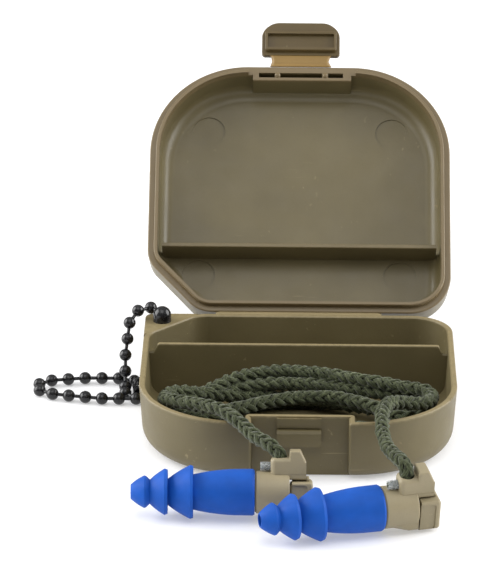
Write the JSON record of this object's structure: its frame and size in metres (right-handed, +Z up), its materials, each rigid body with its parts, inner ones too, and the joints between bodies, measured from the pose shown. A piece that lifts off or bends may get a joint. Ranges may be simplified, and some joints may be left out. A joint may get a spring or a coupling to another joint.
{
  "type": "corded ear plugs with case",
  "caption": "Reusable flanged ear plugs on a braided cord, lying in front of their open hinged carry case with a snap latch and a ball chain.",
  "frame": {"origin": "centre of the case's bottom resting face", "axes": "+X to the right across the case, +Y towards the case's lid hinge, +Z up"},
  "size_m": [0.1088, 0.1769, 0.0756],
  "materials": {
    "case_plastic": "satin moulded olive polypropylene",
    "latch_plastic": "satin moulded olive polypropylene",
    "hinge_plastic": "thin flexed polypropylene, slightly whitened",
    "chain_black": "black glossy coated steel",
    "cord_fibre": "matt olive braided yarn",
    "flange_rubber": "soft matt blue elastomer",
    "housing_plastic": "satin moulded tan plastic",
    "cap_plastic": "satin moulded tan plastic",
    "filter_mesh": "fine steel mesh",
    "clear_tube": "clear glossy tube"
  },
  "bodies": {
    "case": {"case_base": "case_plastic", "lid_hinge_web": "hinge_plastic", "chain_anchor": "chain_black", "chain_beads": "chain_black", "chain_links": "chain_black", "chain_connector": "chain_black", "cord_coil": "cord_fibre", "cord_lead_left": "cord_fibre", "cord_lead_right": "cord_fibre"},
    "lid": {"case_lid": "case_plastic", "latch_hinge_web": "hinge_plastic"},
    "latch": {"latch": "latch_plastic"},
    "plug_left": {"plug_left_flanges": "flange_rubber", "plug_left_housing": "housing_plastic", "plug_left_filter": "filter_mesh", "plug_left_cap_hinge": "housing_plastic", "plug_left_cord_tail": "cord_fibre", "plug_left_aglet": "clear_tube"},
    "cap_left": {"plug_left_cap": "cap_plastic"},
    "plug_right": {"plug_right_flanges": "flange_rubber", "plug_right_housing": "housing_plastic", "plug_right_filter": "filter_mesh", "plug_right_cap_hinge": "housing_plastic", "plug_right_cord_tail": "cord_fibre", "plug_right_aglet": "clear_tube"},
    "cap_right": {"plug_right_cap": "cap_plastic"}
  },
  "joints": [
    {"name": "lid_hinge", "type": "hinge", "parent": "case", "child": "lid", "pos_m": [0, 0.0366, 0.0159], "axis": [1, 0, 0], "range_deg": [-43, 128], "deforming": ["lid_hinge_web"]},
    {"name": "latch_hinge", "type": "hinge", "parent": "lid", "child": "latch", "pos_m": [0, 0.09027, 0.06685], "axis": [1, 0, 0], "range_deg": [-15, 105], "deforming": ["latch_hinge_web"]},
    {"name": "plug_left_swivel", "type": "hinge", "parent": "case", "child": "plug_left", "pos_m": [-0.00423, -0.05451, 0.01475], "axis": [0, 0, 1], "range_deg": [-3, 25]},
    {"name": "cap_left_hinge", "type": "hinge", "parent": "plug_left", "child": "cap_left", "pos_m": [0.00249, -0.05599, 0.00969], "axis": [0.01, -0.9563, 0.2924], "range_deg": [0, 110], "deforming": ["plug_left_cap_hinge"]},
    {"name": "plug_right_swivel", "type": "hinge", "parent": "case", "child": "plug_right", "pos_m": [0.02623, -0.06523, 0.015], "axis": [0, 0, 1], "range_deg": [-2, 25]},
    {"name": "cap_right_hinge", "type": "hinge", "parent": "plug_right", "child": "cap_right", "pos_m": [0.03244, -0.06254, 0.00978], "axis": [0.2648, -0.9485, -0.1736], "range_deg": [0, 110], "deforming": ["plug_right_cap_hinge"]}
  ]
}
